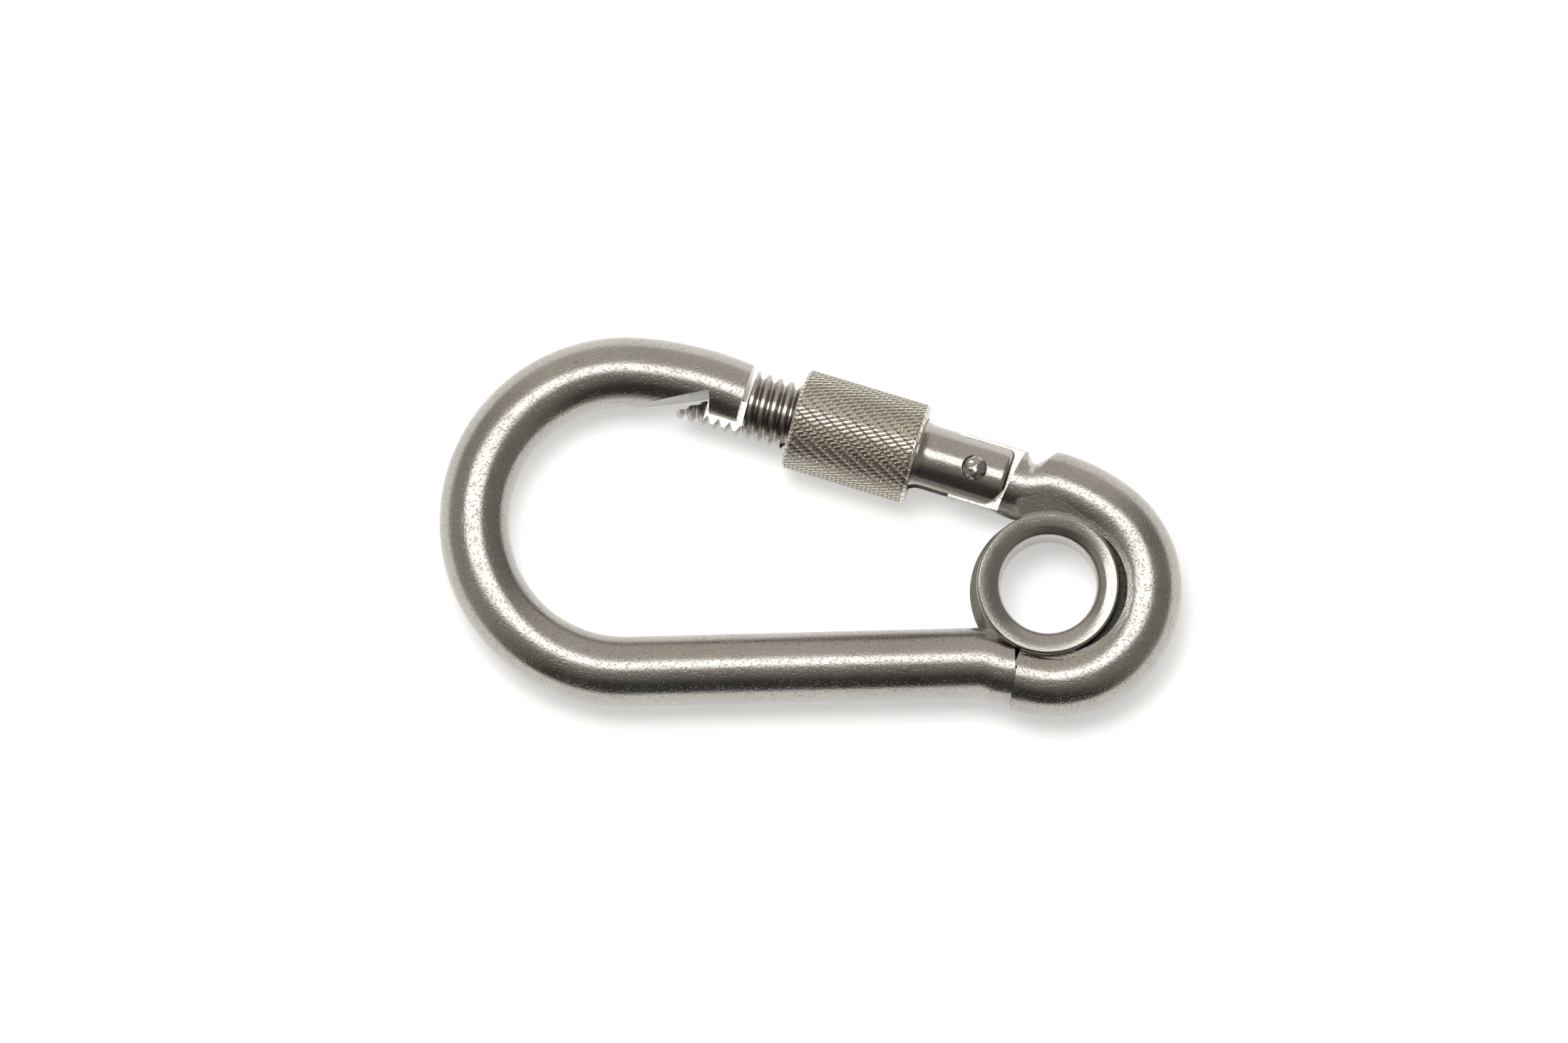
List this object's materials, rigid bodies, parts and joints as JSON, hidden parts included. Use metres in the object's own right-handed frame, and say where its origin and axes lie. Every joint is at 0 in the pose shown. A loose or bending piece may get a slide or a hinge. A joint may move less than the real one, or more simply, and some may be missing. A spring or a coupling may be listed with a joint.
{
  "type": "screw-lock snap hook",
  "caption": "Round-bar snap hook with a hinged spring gate, a threaded knurled lock sleeve and a grooved eyelet held in its small end.",
  "frame": {"origin": "centre of the eyelet's bore, midway through the hook's round bar", "axes": "+Z along the eyelet's bore; +X along the spine towards the eyelet end; +Y from the spine to the gate"},
  "size_m": [0.0798, 0.0423, 0.011],
  "materials": {
    "bar_steel": "satin polished",
    "gate_steel": "satin polished",
    "rivet_steel": "satin polished",
    "inner_steel": "plain",
    "sleeve_steel": "knurled, satin",
    "eyelet_steel": "turned, satin"
  },
  "bodies": {
    "hook": {"hook_frame": "bar_steel"},
    "gate": {"gate": "gate_steel", "hinge_rivet": "rivet_steel", "gate_spring": "inner_steel"},
    "plunger": {"spring_plunger": "inner_steel"},
    "sleeve_slide": {"sleeve_rim": "sleeve_steel"},
    "sleeve": {"lock_sleeve": "sleeve_steel"},
    "eyelet": {"eyelet": "eyelet_steel"}
  },
  "joints": [
    {"name": "gate_swing", "type": "hinge", "parent": "hook", "child": "gate", "pos_m": [-0.00764, 0.01276, 0], "axis": [0, 0, 1], "range_deg": [0, 24], "stiffness_Nm_per_rad": 0.05, "springref_deg": -34.38},
    {"name": "plunger_travel", "type": "slide", "parent": "gate", "child": "plunger", "axis": [-0.9489, 0.3156, 0], "range_m": [0, 0.0011], "deforming": ["gate_spring"]},
    {"name": "sleeve_travel", "type": "slide", "parent": "gate", "child": "sleeve_slide", "axis": [-0.9489, 0.3156, 0], "range_m": [0, 0.01]},
    {"name": "sleeve_spin", "type": "hinge", "parent": "sleeve_slide", "child": "sleeve", "pos_m": [-0.00764, 0.01276, 0], "axis": [-0.9489, 0.3156, 0], "range_deg": [0, 2880]},
    {"name": "eyelet_spin", "type": "hinge", "parent": "hook", "child": "eyelet", "pos_m": [0, 0, 0], "axis": [0, 0, 1], "continuous": true}
  ],
  "couplings": [
    {"joint": "plunger_travel", "follows": "gate_swing", "m_per_rad": 0.00255},
    {"joint": "sleeve_spin", "follows": "sleeve_travel", "rad_per_m": 5026.5}
  ]
}
